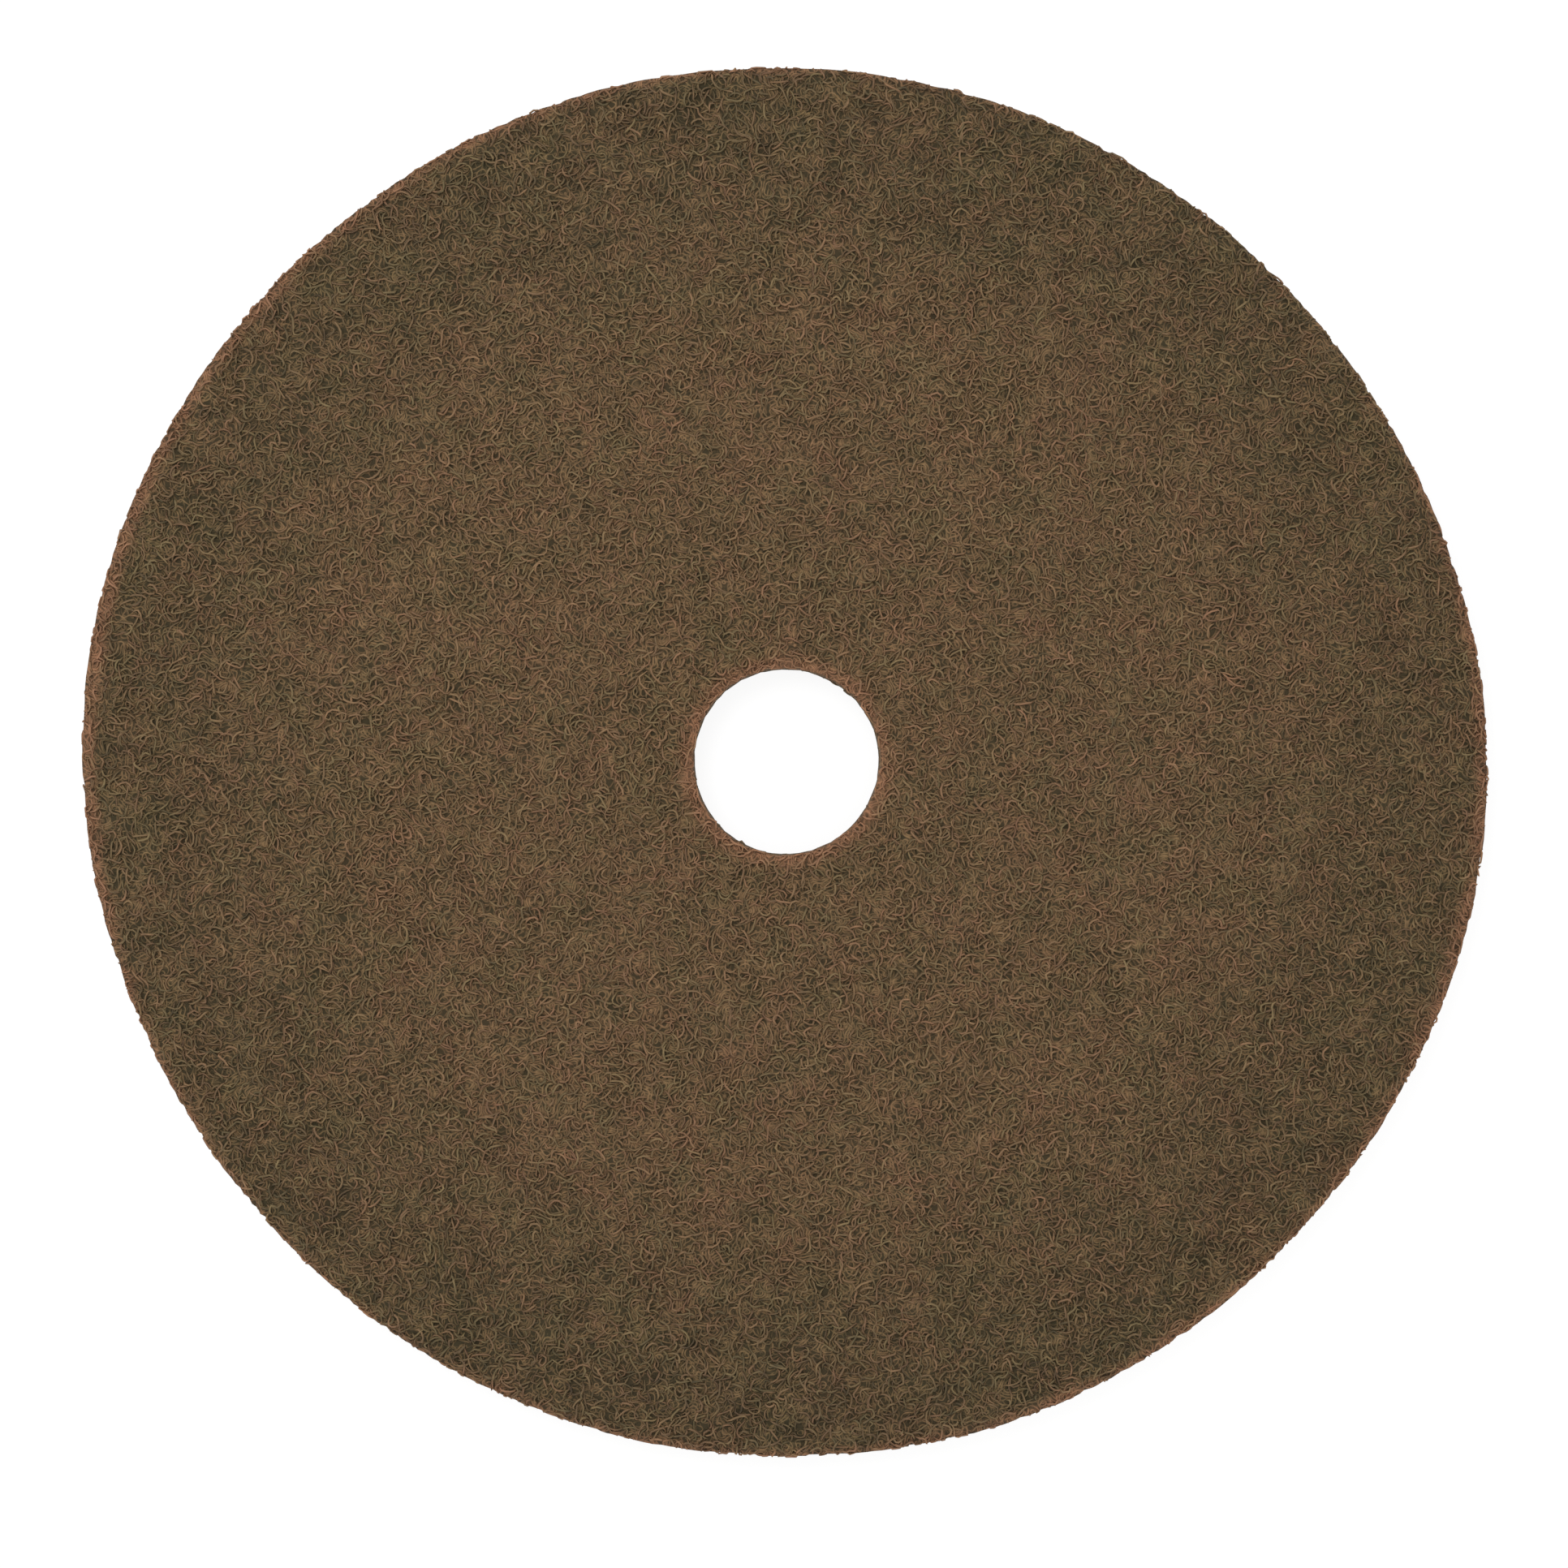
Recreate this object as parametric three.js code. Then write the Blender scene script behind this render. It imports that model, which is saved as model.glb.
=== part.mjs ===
// Diamond polishing pad for a floor machine: one die-cut disc of lofty non-woven
// fibre web with a hole in the middle. Millimetres, +Z up. The origin is on the
// axis of the hole, in the plane of the flat lower face that the drive plate holds.
// The upper face is the working one.

import * as THREE from "three";
import { ImprovedNoise } from "three/addons/math/ImprovedNoise.js";

// The disc
const PAD_DIAMETER = 609.6;
const PAD_THICKNESS = 25;
const HOLE_DIAMETER = 81.2;

// The cut walls: both edges ease off after the die, and the middle pulls in a little
const UPPER_ROUNDING = 4;
const LOWER_ROUNDING = 2;
const WALL_WAIST = 0.8;

// The disc leaves the die a little off its hole and a little out of round.
// A lobe is how many times it comes round the outline, its height, and where one lies in degrees.
const RIM_OFFSET = new THREE.Vector2(-0.8, -0.3);
const RIM_LOBES = [
  { times: 2, height: 2.0, at: -23 },
  { times: 3, height: 0.3, at: 11 },
  { times: 4, height: 0.9, at: -2 },
  { times: 5, height: 0.25, at: 8 },
  { times: 6, height: 0.4, at: -3 },
];
const HOLE_LOBES = [
  { times: 3, height: 0.4, at: 11 },
  { times: 4, height: 0.2, at: 23 },
];

// The matted surface: tufts of fibre on slow swells of the web, each with its size and depth
const TUFT_SIZE = 13;
const TUFT_DEPTH = 1.5;
const SWELL_SIZE = 85;
const SWELL_DEPTH = 0.6;

// How finely the surface is faceted
const RIM_FACETS = 204;
const LEAST_FACETS = 48;
const EDGE_STEPS = 2;
const WALL_STEPS = 2;
const SCATTER = 0.22; // how far a vertex of the working face strays, as a share of a facet
const SCATTER_SEED = 7;

const WEB_COLOUR = new THREE.Color("#5d4c37");
const WEB_ROUGHNESS = 0.96;

const TURN = 2 * Math.PI;
const facet = (Math.PI * PAD_DIAMETER) / RIM_FACETS;
const upperRounding = Math.min(UPPER_ROUNDING, PAD_THICKNESS / 3);
const lowerRounding = Math.min(LOWER_ROUNDING, PAD_THICKNESS / 3);

// The radius of a die-cut outline at an angle.
function outlineRadius(diameter, lobes, angle) {
  const rise = lobes.map(
    ({ times, height, at }) => height * Math.cos(times * (angle - THREE.MathUtils.degToRad(at))),
  );
  return rise.reduce((radius, lobe) => radius + lobe, diameter / 2);
}

// One cut wall from the lower face to the upper one: x is how far it lies inside the web
// from the cut line, and y is its height.
function wallProfile() {
  const lowerEdge = new THREE.EllipseCurve(
    lowerRounding, lowerRounding, lowerRounding, lowerRounding, -Math.PI / 2, -Math.PI, true,
  );
  const shoulder = PAD_THICKNESS - upperRounding;
  const waist = new THREE.QuadraticBezierCurve(
    new THREE.Vector2(0, lowerRounding),
    new THREE.Vector2(2 * WALL_WAIST, (lowerRounding + shoulder) / 2),
    new THREE.Vector2(0, shoulder),
  );
  const upperEdge = new THREE.EllipseCurve(
    upperRounding, shoulder, upperRounding, upperRounding, Math.PI, Math.PI / 2, true,
  );
  return [
    ...lowerEdge.getPoints(EDGE_STEPS),
    ...waist.getPoints(WALL_STEPS).slice(1),
    ...upperEdge.getPoints(EDGE_STEPS).slice(1),
  ];
}

// The stations that a section passes on its way up the hole's wall, out over the working
// face and down the rim's wall. across is 0 at the hole and 1 at the rim.
function sectionStations() {
  const wall = wallProfile();
  const span = (PAD_DIAMETER - HOLE_DIAMETER) / 2 - 2 * upperRounding;
  const rowPitch = facet * Math.sin(Math.PI / 3); // rows of equal-sided triangles
  const rows = Math.round(span / rowPitch);
  const up = wall.map((point) => ({ across: 0, inset: point.x, height: point.y }));
  const face = Array.from({ length: rows - 1 }, (_, row) => ({
    across: (row + 1) / rows, inset: upperRounding, height: PAD_THICKNESS, scattered: true,
  }));
  const down = wall.map((point) => ({ across: 1, inset: point.x, height: point.y })).reverse();
  return [...up, ...face, ...down];
}

// A ring of vertices round the hole's axis at one station, about a facet apart.
function ringOfVertices({ across, inset, height, scattered }, index, vertices) {
  const mean = THREE.MathUtils.lerp(HOLE_DIAMETER, PAD_DIAMETER, across) / 2;
  const count = Math.max(LEAST_FACETS, Math.round((TURN * mean) / facet));
  const stray = () => (scattered ? SCATTER * facet * (2 * THREE.MathUtils.seededRandom() - 1) : 0);
  const angles = Array.from({ length: count }, (_, i) => (TURN * (i + (index % 2) / 2)) / count);
  const first = vertices.length;
  for (const angle of angles) {
    const hole = outlineRadius(HOLE_DIAMETER, HOLE_LOBES, angle) + inset;
    const rim = outlineRadius(PAD_DIAMETER, RIM_LOBES, angle) - inset;
    const radius = THREE.MathUtils.lerp(hole, rim, across);
    vertices.push(
      new THREE.Vector3(
        radius * Math.cos(angle) + RIM_OFFSET.x * across + stray(),
        radius * Math.sin(angle) + RIM_OFFSET.y * across + stray(),
        height,
      ),
    );
  }
  return { first, count, angles };
}

// The triangles between two neighbouring rings, whose numbers of vertices may differ.
function zipRings(near, far, faces) {
  const angleOf = (ring, i) => ring.angles[i % ring.count] + TURN * Math.floor(i / ring.count);
  const vertexOf = (ring, i) => ring.first + (i % ring.count);
  let i = 0;
  let j = 0;
  while (i < near.count || j < far.count) {
    const nearNext = i < near.count && (j === far.count || angleOf(near, i + 1) < angleOf(far, j + 1));
    faces.push(vertexOf(near, i), vertexOf(far, j));
    if (nearNext) {
      i += 1;
      faces.push(vertexOf(near, i));
    } else {
      j += 1;
      faces.push(vertexOf(far, j));
    }
  }
}

// The smooth disc: a closed loft through all the rings, whose last step is the flat lower face.
function loftDisc() {
  const vertices = [];
  const rings = sectionStations().map((station, index) => ringOfVertices(station, index, vertices));
  const faces = [];
  rings.forEach((ring, index) => zipRings(ring, rings[(index + 1) % rings.length], faces));
  return new THREE.BufferGeometry().setFromPoints(vertices).setIndex(faces);
}

// Sinks the surface along its normals into tufts and swells. The lower face stays flat,
// no tuft stands above the pad's thickness, and on the walls they lie to both sides of the cut line.
function matSurface(geometry) {
  const meanSink = (TUFT_DEPTH + SWELL_DEPTH) / 2;
  const noise = new ImprovedNoise();
  const depth = ({ x, y, z }, size) =>
    THREE.MathUtils.clamp(0.5 + noise.noise(x / size, y / size, z / size), 0, 1);
  geometry.computeVertexNormals();
  const { position, normal } = geometry.attributes;
  const point = new THREE.Vector3();
  const outwards = new THREE.Vector3();
  for (let i = 0; i < position.count; i += 1) {
    point.fromBufferAttribute(position, i);
    outwards.fromBufferAttribute(normal, i);
    if (point.z < lowerRounding) continue;
    const sink = TUFT_DEPTH * depth(point, TUFT_SIZE) + SWELL_DEPTH * depth(point, SWELL_SIZE);
    point.addScaledVector(outwards, -sink);
    point.addScaledVector(outwards.setZ(0), meanSink);
    position.setXYZ(i, ...point);
  }
  geometry.computeVertexNormals();
  return geometry;
}

function makePad() {
  const web = new THREE.MeshStandardMaterial({ color: WEB_COLOUR, roughness: WEB_ROUGHNESS, metalness: 0 });
  const disc = new THREE.Mesh(matSurface(loftDisc()), web);
  disc.name = "polishing_pad";
  return disc;
}

THREE.MathUtils.seededRandom(SCATTER_SEED);
const pad = new THREE.Group();
pad.add(makePad());

export default pad;
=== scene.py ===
"""The diamond polishing pad: a dense core of matted web, with curled fibres laid over all of it."""

import math

import bpy
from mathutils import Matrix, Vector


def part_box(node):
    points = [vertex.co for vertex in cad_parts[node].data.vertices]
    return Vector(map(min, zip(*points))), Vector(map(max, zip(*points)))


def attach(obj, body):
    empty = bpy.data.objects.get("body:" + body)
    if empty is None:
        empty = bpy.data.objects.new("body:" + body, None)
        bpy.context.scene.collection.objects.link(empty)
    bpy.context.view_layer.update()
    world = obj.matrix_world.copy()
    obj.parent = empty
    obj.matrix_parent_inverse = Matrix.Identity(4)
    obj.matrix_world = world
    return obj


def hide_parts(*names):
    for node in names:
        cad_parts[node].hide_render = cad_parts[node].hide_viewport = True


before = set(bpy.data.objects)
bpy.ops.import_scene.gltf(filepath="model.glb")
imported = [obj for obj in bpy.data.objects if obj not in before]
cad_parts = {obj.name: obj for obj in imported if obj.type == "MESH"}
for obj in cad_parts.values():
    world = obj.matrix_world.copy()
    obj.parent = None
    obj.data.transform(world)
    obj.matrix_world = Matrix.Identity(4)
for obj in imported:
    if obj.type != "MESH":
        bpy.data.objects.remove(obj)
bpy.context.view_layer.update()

bl_info = {
    "name": "Diamond Polishing Pad",
    "version": (1, 0, 0),
    "blender": (4, 5, 0),
    "location": "3D View > Sidebar > Pad",
    "description": "Makes the matted core, the fibre web and the stage of a floor polishing pad",
    "category": "Add Mesh",
}

PAD_NODE = "polishing_pad"
BODY = "root"
FIBRE_MAP = "OFBake"

# The pad's own sizes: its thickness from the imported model, and its mean radii in metres
LOWEST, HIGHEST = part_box(PAD_NODE)
THICKNESS = HIGHEST.z - LOWEST.z
RIM_RADIUS = 0.3048
HOLE_RADIUS = 0.0406

# The cut walls: the rounding of their edges, and how far their middle pulls in
UPPER_ROUNDING = 0.004
LOWER_ROUNDING = 0.002
WALL_WAIST = 0.0008

FULL_TURN = 2 * math.pi


# Helpers for node trees


def enabled(sockets, name):
    """The socket of that name that the node's settings leave switched on."""
    return next(s for s in sockets if s.name == name and s.enabled)


def add(tree, kind, inputs=None, **settings):
    """A new node, with its settings and its inputs, each given as a value or as another node's socket."""
    node = tree.nodes.new(kind)
    for name, value in settings.items():
        setattr(node, name, value)
    for name, value in (inputs or {}).items():
        put(tree, enabled(node.inputs, name), value)
    return node


def put(tree, socket, value):
    """Gives a socket its value, or links another node's socket to it."""
    if isinstance(value, bpy.types.NodeSocket):
        tree.links.new(value, socket)
    else:
        socket.default_value = value


def sums(tree, operation, *values):
    """The result of a Math node."""
    node = tree.nodes.new("ShaderNodeMath")
    node.operation = operation
    for socket, value in zip(node.inputs, values):
        put(tree, socket, value)
    return node.outputs[0]


def between(tree, value, low, high, start=0.0, end=1.0):
    """A value eased from start to end as it goes from low to high."""
    node = add(
        tree,
        "ShaderNodeMapRange",
        {"Value": value, "From Min": low, "From Max": high, "To Min": start, "To Max": end},
        interpolation_type="SMOOTHSTEP",
    )
    return node.outputs["Result"]


def noise(tree, scale, detail=1.0, place=None, own=None, output="Fac"):
    """A noise that is finer with scale. own gives each strand a noise of its own."""
    inputs = {"Scale": scale, "Detail": detail}
    if place is not None:
        inputs["Vector"] = place
    if own is not None:
        inputs["W"] = own
    settings = {"noise_dimensions": "3D" if own is None else "4D"}
    return add(tree, "ShaderNodeTexNoise", inputs, **settings).outputs[output]


def centred_noise(tree, scale, detail, place, strength):
    """A noise of a place that lies as far under nought as over it."""
    return sums(tree, "MULTIPLY_ADD", noise(tree, scale, detail, place), strength, -strength / 2)


def arch(tree, value):
    """1 where a value is nought, falling as a parabola to nought where it is 1 or -1."""
    square = sums(tree, "POWER", value, 2.0)
    return sums(tree, "MAXIMUM", sums(tree, "MULTIPLY_ADD", square, -1.0, 1.0), 0.0)


def sight_rays(tree):
    """1 for the rays that show the background: those of the camera, of gloss and of glass."""
    path = tree.nodes.new("ShaderNodeLightPath").outputs
    seen = sums(tree, "MAXIMUM", path["Is Camera Ray"], path["Is Glossy Ray"])
    return sums(tree, "MAXIMUM", seen, path["Is Transmission Ray"])


def new_tree(kind, name, inputs, outputs):
    """An empty group of nodes with named inputs and outputs, and its two end nodes."""
    tree = bpy.data.node_groups.new(name, kind)
    for label, socket_type, default in inputs:
        socket = tree.interface.new_socket(label, in_out="INPUT", socket_type=socket_type)
        if default is not None:
            socket.default_value = default
    for label, socket_type in outputs:
        tree.interface.new_socket(label, in_out="OUTPUT", socket_type=socket_type)
    given = tree.nodes.new("NodeGroupInput").outputs
    results = tree.nodes.new("NodeGroupOutput").inputs
    return tree, given, results


def use_group(tree, group, inputs=None):
    """A group placed in a tree, with its inputs."""
    node = tree.nodes.new(type(tree).__name__.replace("NodeTree", "NodeGroup"))
    node.node_tree = group
    for name, value in (inputs or {}).items():
        put(tree, node.inputs[name], value)
    return node


def from_axis(tree, position):
    """The level vector from the hole's axis to a place, and its length."""
    flat = add(tree, "ShaderNodeVectorMath", operation="MULTIPLY")
    put(tree, flat.inputs[0], position)
    put(tree, flat.inputs[1], (1, 1, 0))
    length = add(tree, "ShaderNodeVectorMath", operation="LENGTH")
    put(tree, length.inputs[0], flat.outputs[0])
    return flat.outputs[0], length.outputs["Value"]


def finished_piece(tree, geometry, material):
    """Shades a piece smooth, makes its instances real and gives it its material."""
    smooth = add(tree, "GeometryNodeSetShadeSmooth", {"Geometry": geometry, "Shade Smooth": True})
    real = add(tree, "GeometryNodeRealizeInstances", {"Geometry": smooth.outputs[0]})
    node = add(tree, "GeometryNodeSetMaterial", {"Geometry": real.outputs[0], "Material": material})
    return node.outputs[0]


def made_by_nodes(name, mesh, tree, values):
    """The plain mesh object that a tree makes of a mesh, with the values that its inputs are set to."""
    source = bpy.data.objects.new(name + "_source", mesh)
    bpy.context.scene.collection.objects.link(source)
    modifier = source.modifiers.new(name, "NODES")
    modifier.node_group = tree
    for item in tree.interface.items_tree:
        if item.in_out == "INPUT" and item.name in values:
            modifier[item.identifier] = values[item.name]
    evaluated = source.evaluated_get(bpy.context.evaluated_depsgraph_get())
    result = bpy.data.meshes.new_from_object(evaluated)
    result.name = name
    bpy.data.objects.remove(source)
    piece = bpy.data.objects.new(name, result)
    bpy.context.scene.collection.objects.link(piece)
    return piece


# The web's tone over the pad: how light and how red the fibres are from place to place, from 0 to 1

TONE = {
    # The radii and heights between which each change comes about, in metres
    "hole_blush": (HOLE_RADIUS + 0.001, HOLE_RADIUS + 0.009),
    "rim_blush": (RIM_RADIUS - 0.0075, RIM_RADIUS - 0.0015),
    # Painted shade: between these radii the web is painted darker and less red towards the rim
    "painted_rim_shade": (RIM_RADIUS - 0.125, RIM_RADIUS - 0.020),
    "upper_edge": (0.65 * THICKNESS, 0.85 * THICKNESS),
    # How fine the redder patches, the dark clumps near the rim and the open pits are
    "patch_scale": 65.0,
    "clump_scale": 120.0,
    "pit_scale": 480.0,
    # How light the web is, and what each thing adds to it
    "light": 0.63,
    "light_in_painted_shade": -0.14,
    "light_in_blush": 0.28,
    "light_of_clumps": 0.6,
    "painted_pit_shade": 0.7,
    # How red the web is, and what each thing adds to it
    "red": 0.45,
    "red_in_painted_shade": -0.15,
    "red_in_blush": 0.65,
    "red_of_patches": 1.05,
    # How much weaker the painted shade near the rim is towards +X and -X than towards +Y and -Y
    "weaker_sideways": 0.3,
}


def tone_group():
    """Fields for how light and how red the web is at a place, with painted shade that darkens it towards
    the rim.
    """
    name = "pad_tone"
    if name in bpy.data.node_groups:
        return bpy.data.node_groups[name]
    tree, _, results = new_tree(
        "GeometryNodeTree", name, [], [("Light", "NodeSocketFloat"), ("Red", "NodeSocketFloat")]
    )
    position = tree.nodes.new("GeometryNodeInputPosition").outputs[0]
    _, radius = from_axis(tree, position)
    parts = add(tree, "ShaderNodeSeparateXYZ", {"Vector": position}).outputs
    sideways = sums(tree, "DIVIDE", parts["X"], radius)
    sideways = sums(tree, "MULTIPLY", sideways, sideways)
    lean = sums(tree, "MULTIPLY_ADD", sideways, -TONE["weaker_sideways"], 1.0)
    # shade is painted shade towards the rim, weaker towards +X and -X; it also marks where the clumps lie
    shade = sums(tree, "MULTIPLY", between(tree, radius, *TONE["painted_rim_shade"]), lean)
    rim = between(tree, radius, *TONE["rim_blush"])
    hole = between(tree, radius, *reversed(TONE["hole_blush"]))
    upper = between(tree, parts["Z"], *TONE["upper_edge"])
    blush = sums(tree, "MULTIPLY", sums(tree, "MAXIMUM", rim, hole), upper)
    patches = centred_noise(tree, TONE["patch_scale"], 3.0, position, TONE["red_of_patches"])
    clumps = centred_noise(tree, TONE["clump_scale"], 1.0, position, TONE["light_of_clumps"])
    light = sums(tree, "MULTIPLY_ADD", shade, TONE["light_in_painted_shade"], TONE["light"])
    light = sums(tree, "MULTIPLY_ADD", blush, TONE["light_in_blush"], light)
    light = sums(tree, "MULTIPLY_ADD", shade, clumps, light)
    red = sums(tree, "MULTIPLY_ADD", shade, TONE["red_in_painted_shade"], TONE["red"])
    red = sums(tree, "ADD", red, patches)
    red = sums(tree, "MULTIPLY_ADD", blush, TONE["red_in_blush"], red)
    put(tree, results["Light"], light)
    put(tree, results["Red"], red)
    return tree


def pits(tree, place):
    """How much lighter or darker a place is painted: painted shade where the web is open and its pits are
    deep, lighter where it is dense.
    """
    return centred_noise(tree, TONE["pit_scale"], 0.0, place, TONE["painted_pit_shade"])


# Materials

# The curled lines on the core. Each layer is finer and fainter than the one above it: lower, and so
# painted darker as painted shade of its depth. Between the lines the core is painted dark, as the shade
# in the web's gaps.
LINES = {
    "scale": 165.0,
    "finer": 20.0,
    "fainter": 0.25,
    # How far apart the layers lie in the noise's fourth dimension
    "apart": 3.7,
    "width": 0.0011,
    # How far the slope of the noise is measured, in metres
    "slope_step": 0.0002,
    # The share of a line's width over which its middle is flat
    "flat": 0.15,
    "painted_gap_shade": 0.66,
    "bump": 0.7,
    "bump_height": 0.0006,
}


def web_colours(tree, colours, light, red):
    """The web's colour: from dark to light, and from olive to red-brown."""
    sides = []
    for dark, pale in ((colours.olive_dark, colours.olive_light), (colours.red_dark, colours.red_light)):
        mix = add(tree, "ShaderNodeMix", data_type="RGBA")
        put(tree, enabled(mix.inputs, "Factor"), light)
        put(tree, enabled(mix.inputs, "A"), (*dark, 1))
        put(tree, enabled(mix.inputs, "B"), (*pale, 1))
        sides.append(enabled(mix.outputs, "Result"))
    mix = add(tree, "ShaderNodeMix", data_type="RGBA")
    put(tree, enabled(mix.inputs, "Factor"), red)
    put(tree, enabled(mix.inputs, "A"), sides[0])
    put(tree, enabled(mix.inputs, "B"), sides[1])
    return enabled(mix.outputs, "Result")


def plain_material(name, roughness):
    """A new material and its surface shader, with nothing else in it."""
    material = bpy.data.materials.new(name)
    material.use_nodes = True
    tree = material.node_tree
    surface = next(n for n in tree.nodes if n.type == "BSDF_PRINCIPLED")
    surface.inputs["Roughness"].default_value = roughness
    return material, tree, surface


def fibre_material(colours):
    """Resin-coated fibre. Its map runs from dark to light one way and from olive to red the other."""
    name = "coated_fibre"
    if name in bpy.data.materials:
        return bpy.data.materials[name]
    material, tree, surface = plain_material(name, colours.fibre_roughness)
    spot = add(tree, "ShaderNodeUVMap", uv_map=FIBRE_MAP).outputs[0]
    axes = add(tree, "ShaderNodeSeparateXYZ", {"Vector": spot}).outputs
    put(tree, surface.inputs["Base Color"], web_colours(tree, colours, axes["X"], axes["Y"]))
    return material


def curled_lines_group():
    """Curled lines of an even width, which follow a noise's contours. Lines is 1 on them."""
    name = "curled_lines"
    if name in bpy.data.node_groups:
        return bpy.data.node_groups[name]
    tree, given, results = new_tree(
        "ShaderNodeTree",
        name,
        [
            ("Vector", "NodeSocketVector", None),
            ("Normal", "NodeSocketVector", None),
            ("Layer", "NodeSocketFloat", 0.0),
            ("Scale", "NodeSocketFloat", LINES["scale"]),
            ("Levels", "NodeSocketFloat", 7.0),
            ("Width", "NodeSocketFloat", LINES["width"]),
        ],
        [("Lines", "NodeSocketFloat")],
    )
    step = LINES["slope_step"]
    field = noise(tree, given["Scale"], 0.0, given["Vector"], given["Layer"])
    slopes = []
    for axis in ((step, 0, 0), (0, step, 0), (0, 0, step)):
        beside = add(tree, "ShaderNodeVectorMath", operation="ADD")
        put(tree, beside.inputs[0], given["Vector"])
        put(tree, beside.inputs[1], axis)
        there = noise(tree, given["Scale"], 0.0, beside.outputs[0], given["Layer"])
        slopes.append(sums(tree, "DIVIDE", sums(tree, "SUBTRACT", there, field), step))
    slope = add(tree, "ShaderNodeCombineXYZ", dict(zip("XYZ", slopes))).outputs[0]
    outwards = add(tree, "ShaderNodeVectorMath", operation="PROJECT")
    put(tree, outwards.inputs[0], slope)
    put(tree, outwards.inputs[1], given["Normal"])
    along = add(tree, "ShaderNodeVectorMath", operation="DISTANCE")
    put(tree, along.inputs[0], slope)
    put(tree, along.inputs[1], outwards.outputs[0])
    steepness = sums(tree, "MAXIMUM", along.outputs["Value"], 1.0)
    level = sums(tree, "FRACT", sums(tree, "MULTIPLY", field, given["Levels"]))
    away = sums(tree, "ABSOLUTE", sums(tree, "SUBTRACT", level, 0.5))
    away = sums(tree, "DIVIDE", away, given["Levels"])
    away = sums(tree, "DIVIDE", away, steepness)
    half = sums(tree, "MULTIPLY", given["Width"], 0.5)
    flat = sums(tree, "MULTIPLY", given["Width"], LINES["flat"])
    put(tree, results["Lines"], between(tree, away, flat, half, 1.0, 0.0))
    return tree


def core_material(colours):
    """The matted web between the laid fibres, with finer curled lines; between them it is painted dark,
    as painted shade deep in the web's gaps.
    """
    material, tree, surface = plain_material("matted_core", colours.core_roughness)
    place = tree.nodes.new("ShaderNodeTexCoord").outputs["Object"]
    light = add(tree, "ShaderNodeAttribute", attribute_name="light").outputs["Fac"]
    red = add(tree, "ShaderNodeAttribute", attribute_name="red").outputs["Fac"]
    normal = tree.nodes.new("ShaderNodeNewGeometry").outputs["Normal"]
    height = 0.0
    for layer in range(colours.core_layers):
        lines = use_group(
            tree,
            curled_lines_group(),
            {
                "Vector": place,
                "Normal": normal,
                "Layer": LINES["apart"] * layer,
                "Scale": LINES["scale"] + LINES["finer"] * layer,
                "Width": LINES["width"],
            },
        ).outputs["Lines"]
        raised = sums(tree, "MULTIPLY", lines, 1 - LINES["fainter"] * layer)
        height = sums(tree, "MAXIMUM", raised, height)
    # Painted shade: darkest between the lines, and darker on the lower layers
    tone = sums(tree, "MULTIPLY_ADD", height, LINES["painted_gap_shade"], -LINES["painted_gap_shade"])
    tone = sums(tree, "ADD", light, tone)
    tone = sums(tree, "ADD", tone, pits(tree, place))
    colour = web_colours(tree, colours, tone, red)
    put(tree, surface.inputs["Base Color"], colour)
    bump = add(
        tree,
        "ShaderNodeBump",
        {"Strength": LINES["bump"], "Distance": LINES["bump_height"], "Height": height},
    )
    put(tree, surface.inputs["Normal"], bump.outputs["Normal"])
    return material


# The core


def skin_mesh(name, pitch, smoothings):
    """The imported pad's own surface as one even closed mesh, which every layer of the web follows."""
    if name in bpy.data.meshes:
        return bpy.data.meshes[name]
    source = bpy.data.objects.new("skin_source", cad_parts[PAD_NODE].data.copy())
    bpy.context.scene.collection.objects.link(source)
    weld = source.modifiers.new("weld", "WELD")
    weld.merge_threshold = 1e-5
    remesh = source.modifiers.new("even", "REMESH")
    remesh.mode = "VOXEL"
    remesh.voxel_size = pitch
    smooth = source.modifiers.new("smooth", "SMOOTH")
    smooth.iterations = smoothings
    evaluated = source.evaluated_get(bpy.context.evaluated_depsgraph_get())
    mesh = bpy.data.meshes.new_from_object(evaluated)
    bpy.data.objects.remove(source)
    mesh.name = name
    mesh.materials.clear()
    return mesh


# How the cut walls are trued
TRUING = {
    # A place counts as wall where its normal lies level, and no more where it rises this far
    "level": (0.3, 0.6),
    # How far inside the cut line a place begins to stay, and stays altogether
    "inside": (0.0028, 0.0050),
    # Nothing moves below this height
    "foot": 0.0005,
    # The part of the upper rounding over which the move fades out
    "fade": (0.4, 0.75),
    # The least share of wall near a place that the mean is taken of
    "least": 0.00001,
}


def cut_wall_depth(tree, height):
    """How far the cut wall lies inside the cut line at a height: at its waist and its upper edge."""
    middle = (LOWER_ROUNDING + THICKNESS - UPPER_ROUNDING) / 2
    half = middle - LOWER_ROUNDING
    level = sums(tree, "MULTIPLY_ADD", height, 1 / half, -middle / half)
    past = sums(tree, "MULTIPLY_ADD", height, 1 / UPPER_ROUNDING, 1 - THICKNESS / UPPER_ROUNDING)
    past = sums(tree, "MAXIMUM", past, 0.0)
    edge = sums(tree, "SUBTRACT", 1.0, sums(tree, "SQRT", arch(tree, past)))
    edge = sums(tree, "MULTIPLY", edge, UPPER_ROUNDING)
    return sums(tree, "MULTIPLY_ADD", arch(tree, level), WALL_WAIST, edge)


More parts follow.
